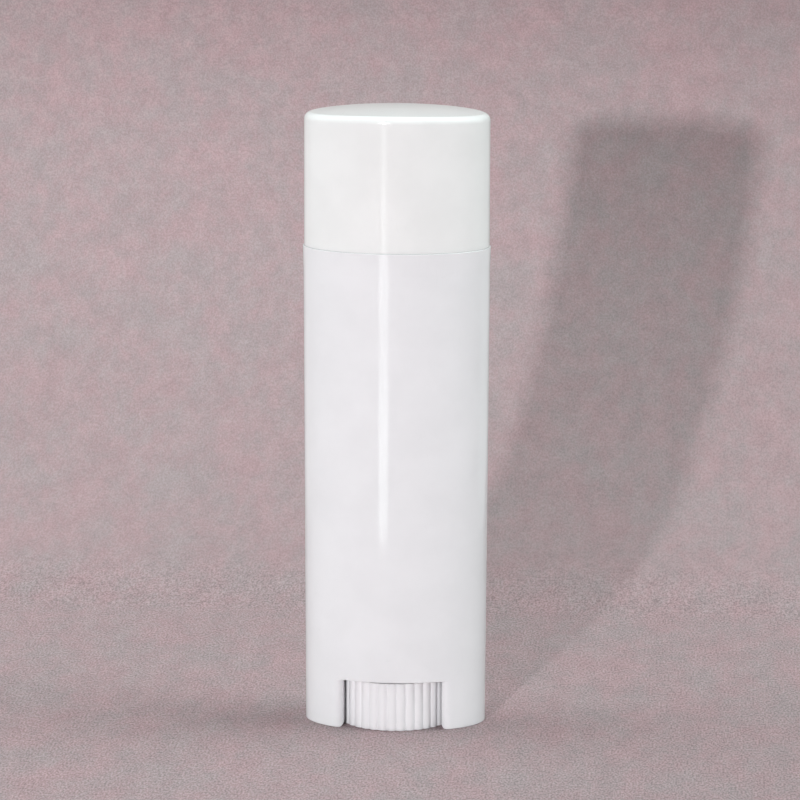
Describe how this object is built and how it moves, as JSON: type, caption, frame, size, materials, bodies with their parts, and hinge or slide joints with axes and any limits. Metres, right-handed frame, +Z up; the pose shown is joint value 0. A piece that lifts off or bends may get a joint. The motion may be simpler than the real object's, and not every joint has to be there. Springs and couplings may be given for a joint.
{
  "type": "oval lipstick container",
  "caption": "Empty oval twist-up lipstick container: a pull-off cap over a tapered barrel, with a ribbed wheel that drives a lead screw and carrier inside.",
  "frame": {"origin": "centre of the foot, at the level of the surface that the legs stand on", "axes": "+Z up through the cap, X across the width of the oval, -Y towards the front window"},
  "size_m": [0.0212, 0.0136, 0.0704],
  "materials": {
    "barrel": "white moulded polypropylene, polished tool finish",
    "cap": "white moulded polypropylene, polished tool finish",
    "turn_wheel": "white moulded polypropylene, ribbed, polished",
    "carrier": "white moulded polypropylene, plain tool finish"
  },
  "bodies": {
    "barrel": {"barrel": "barrel"},
    "cap": {"cap": "cap"},
    "turn_wheel": {"turn_wheel": "turn_wheel"},
    "carrier": {"carrier": "carrier"}
  },
  "joints": [
    {"name": "wheel_turn", "type": "hinge", "parent": "barrel", "child": "turn_wheel", "pos_m": [0, 0, 0.003], "axis": [0, 0, 1], "range_deg": [0, 2701]},
    {"name": "carrier_lift", "type": "slide", "parent": "barrel", "child": "carrier", "axis": [0, 0, 1], "range_m": [0, 0.045]},
    {"name": "cap_pull", "type": "slide", "parent": "barrel", "child": "cap", "axis": [0, 0, 1], "range_m": [0, 0.03]}
  ],
  "couplings": [
    {"joint": "wheel_turn", "follows": "carrier_lift", "rad_per_m": 1047.2}
  ]
}
